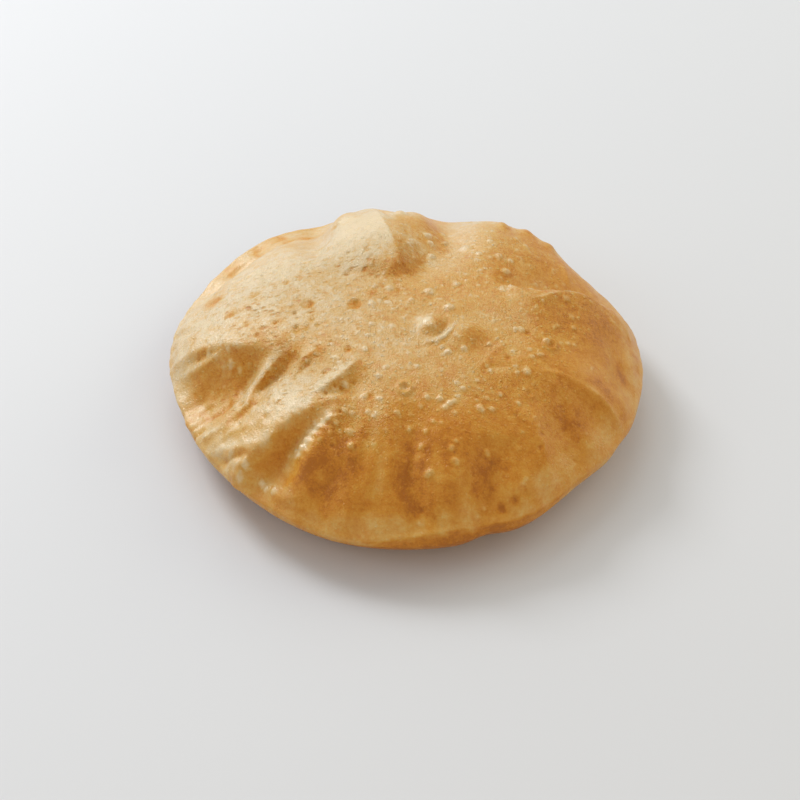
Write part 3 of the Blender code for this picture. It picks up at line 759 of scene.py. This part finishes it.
def fried_dough():
    """Golden, blotchy, lightly oiled crust with a fine pebbled grain."""
    dough = bpy.data.materials.new("fried_dough_crust")
    dough.use_nodes = True
    tree = dough.node_tree
    shader = tree.nodes["Principled BSDF"]
    new = tree.nodes.new
    join = tree.links.new
    where = new("ShaderNodeTexCoord")

    def mapping(scale, turn=0.0):
        node = new("ShaderNodeMapping")
        node.inputs["Rotation"].default_value = (0, 0, turn)
        node.inputs["Scale"].default_value = scale
        join(where.outputs["Object"], node.inputs["Vector"])
        return node

    in_mm = mapping((1 / MM, 1 / MM, 1 / MM))
    drawn_out = mapping(DRAWN_OUT_SCALE, DRAWN_OUT_TURN)

    def cloud(size, detail, rough=0.55, distort=0.0):
        node = new("ShaderNodeTexNoise")
        node.inputs["Scale"].default_value = size
        node.inputs["Detail"].default_value = detail
        node.inputs["Roughness"].default_value = rough
        node.inputs["Distortion"].default_value = distort
        join(in_mm.outputs["Vector"], node.inputs["Vector"])
        return node.outputs["Fac"]

    def maths(kind, a, b):
        node = new("ShaderNodeMath")
        node.operation = kind
        for socket, value in zip(node.inputs, (a, b)):
            if isinstance(value, (int, float)):
                socket.default_value = value
            else:
                join(value, socket)
        return node.outputs[0]

    def times(a, b):
        return maths("MULTIPLY", a, b)

    def plus(a, b):
        return maths("ADD", a, b)

    def minus(a, b):
        return maths("SUBTRACT", a, b)

    def spread(value, low, high, start=0.0, end=1.0):
        node = new("ShaderNodeMapRange")
        node.inputs["From Min"].default_value = low
        node.inputs["From Max"].default_value = high
        node.inputs["To Min"].default_value = start
        node.inputs["To Max"].default_value = end
        join(value, node.inputs["Value"])
        return node.outputs["Result"]

    def mark(name):
        node = new("ShaderNodeAttribute")
        node.attribute_name = name
        return node.outputs["Fac"]

    def dots(size, share, edge, top, pattern=in_mm):
        """Round dots on some of the cells of a pattern."""
        cells = new("ShaderNodeTexVoronoi")
        cells.inputs["Scale"].default_value = size
        join(pattern.outputs["Vector"], cells.inputs["Vector"])
        split = new("ShaderNodeSeparateColor")
        join(cells.outputs["Color"], split.inputs["Color"])
        picked = spread(split.outputs["Red"], share, share + 0.1)
        return times(picked, spread(cells.outputs["Distance"], edge, top))

    pebbled, streaked, wet, browning_and_light = map(mark, ("pebbled", "streaked", "wet", "browning_and_light"))

    # Tiny and fine blisters, pores and tiny pits
    rough_skin = spread(pebbled, 0.05, 0.5, 0.30, 1.0)
    domed_skin = times(rough_skin, spread(streaked, 0.2, 0.8, 1.0, 0.25))
    tiny_blister = times(dots(size=0.8, share=0.50, edge=0.40, top=0.20), domed_skin)
    fine_blister = times(dots(size=1.4, share=0.45, edge=0.42, top=0.18), domed_skin)
    tiny_pit = times(dots(size=0.62, share=0.42, edge=0.42, top=0.22, pattern=drawn_out), streaked)
    pores = cloud(size=1.9, detail=3, rough=0.6)

    # Colour: the painted mark of the crust's tone with painted light and shade, broken up by blotches and
    # flecks
    blotch = cloud(size=0.16, detail=5, rough=0.65, distort=0.8)
    blotch = spread(blotch, 0.34, 0.68, -BLOTCH_SHADE, BLOTCH_SHADE)
    fleck = spread(cloud(size=0.8, detail=4, rough=0.7), 0.40, 0.64, -FLECK_SHADE, FLECK_SHADE)
    fleck = times(fleck, spread(pebbled, 0.0, 0.5, 0.6, 1.0))
    amount = plus(plus(browning_and_light, blotch), fleck)
    # Tiny and fine blister tops paler, partly as painted highlights
    amount = minus(amount, times(tiny_blister, TINY_PALE))
    amount = minus(amount, times(fine_blister, FINE_PALE))
    amount = plus(amount, times(tiny_pit, PIT_DARK))
    # Painted shade in the grain's hollows and painted light on its crests
    amount = plus(amount, times(spread(pores, 0.35, 0.65, GRAIN_PAINTED_SHADE, -GRAIN_PAINTED_SHADE), rough_skin))
    ramp = new("ShaderNodeValToRGB")
    stops = ramp.color_ramp.elements
    for place, _ in CRUST_COLOURS[1:-1]:
        stops.new(place)
    for stop, (place, colour) in zip(stops, CRUST_COLOURS):
        stop.position, stop.color = place, (*colour, 1)
    join(amount, ramp.inputs["Fac"])
    join(ramp.outputs["Color"], shader.inputs["Base Color"])

    # Height of the same grain
    height = times(pores, spread(pebbled, 0.0, 1.0, 0.12, 0.60))
    height = plus(height, times(tiny_blister, TINY_HEIGHT))
    height = plus(height, times(fine_blister, FINE_HEIGHT))
    height = minus(height, times(tiny_pit, PIT_HEIGHT))
    height = times(height, spread(wet, 0.0, 1.0, 1.0, 0.35))
    bump = new("ShaderNodeBump")
    bump.inputs["Strength"].default_value = 1.0
    bump.inputs["Distance"].default_value = MM
    join(height, bump.inputs["Height"])
    join(bump.outputs["Normal"], shader.inputs["Normal"])
    join(bump.outputs["Normal"], shader.inputs["Coat Normal"])

    # A thin film of oil, glossier in places
    join(spread(cloud(size=0.2, detail=3), 0.3, 0.7, 0.38, 0.50), shader.inputs["Roughness"])
    join(spread(browning_and_light, 0.35, 0.7, 1.0, 0.3), shader.inputs["Specular IOR Level"])
    join(maths("MAXIMUM", spread(browning_and_light, 0.3, 0.7, 0.75, 0.22), wet), shader.inputs["Coat Weight"])
    join(spread(wet, 0.0, 1.0, 0.25, 0.12), shader.inputs["Coat Roughness"])
    shader.inputs["Coat IOR"].default_value = OIL_IOR
    shader.inputs["Subsurface Weight"].default_value = GLOW
    shader.inputs["Subsurface Radius"].default_value = GLOW_RADIUS
    shader.inputs["Subsurface Scale"].default_value = MM
    return dough


def plain(name, colour, rough):
    """A plain material of one colour."""
    finish = bpy.data.materials.new(name)
    finish.use_nodes = True
    shader = finish.node_tree.nodes["Principled BSDF"]
    shader.inputs["Base Color"].default_value = colour
    shader.inputs["Roughness"].default_value = rough
    return finish


def studio():
    """Pale floor, soft lamps from the back left, a warm bounce from the front, dim sky, and the camera."""
    deselect()
    bpy.ops.mesh.primitive_plane_add(size=FLOOR_SIZE, location=(0, 0, 0))
    floor = bpy.context.active_object
    floor.name = "floor"
    floor.data.materials.append(plain("pale_floor", FLOOR_COLOUR, FLOOR_ROUGH))
    scene = bpy.context.scene
    scene.view_settings.view_transform = "Standard"
    world = bpy.data.worlds.new("studio_sky")
    world.use_nodes = True
    sky = world.node_tree.nodes["Background"]
    sky.inputs["Color"].default_value = SKY_COLOUR
    sky.inputs["Strength"].default_value = SKY_STRENGTH
    scene.world = world
    for name, turn, lift, distance, size, power, colour in LAMPS:
        lamp = bpy.data.lights.new(name, "AREA")
        lamp.shape = "DISK"
        lamp.size = size
        lamp.energy = power
        lamp.color = colour
        holder = bpy.data.objects.new(name, lamp)
        scene.collection.objects.link(holder)
        way = toward(turn, lift)
        holder.location = way * distance
        holder.rotation_euler = way.to_track_quat("Z", "Y").to_euler()
    eye = bpy.data.cameras.new("camera")
    eye.lens = CAMERA_LENS
    eye.sensor_width = CAMERA_SENSOR
    camera = bpy.data.objects.new("camera", eye)
    camera.location = CAMERA_PLACE
    camera.rotation_euler = (math.radians(CAMERA_TILT), 0, 0)
    scene.collection.objects.link(camera)
    scene.camera = camera


skin = grow_skin(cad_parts["puri"])
tops, pits, facing = shape_skin(skin)
paint_tone_and_light(skin, tops, pits, facing)
skin.data.materials.append(fried_dough())
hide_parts("puri")
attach(skin, "root")
studio()
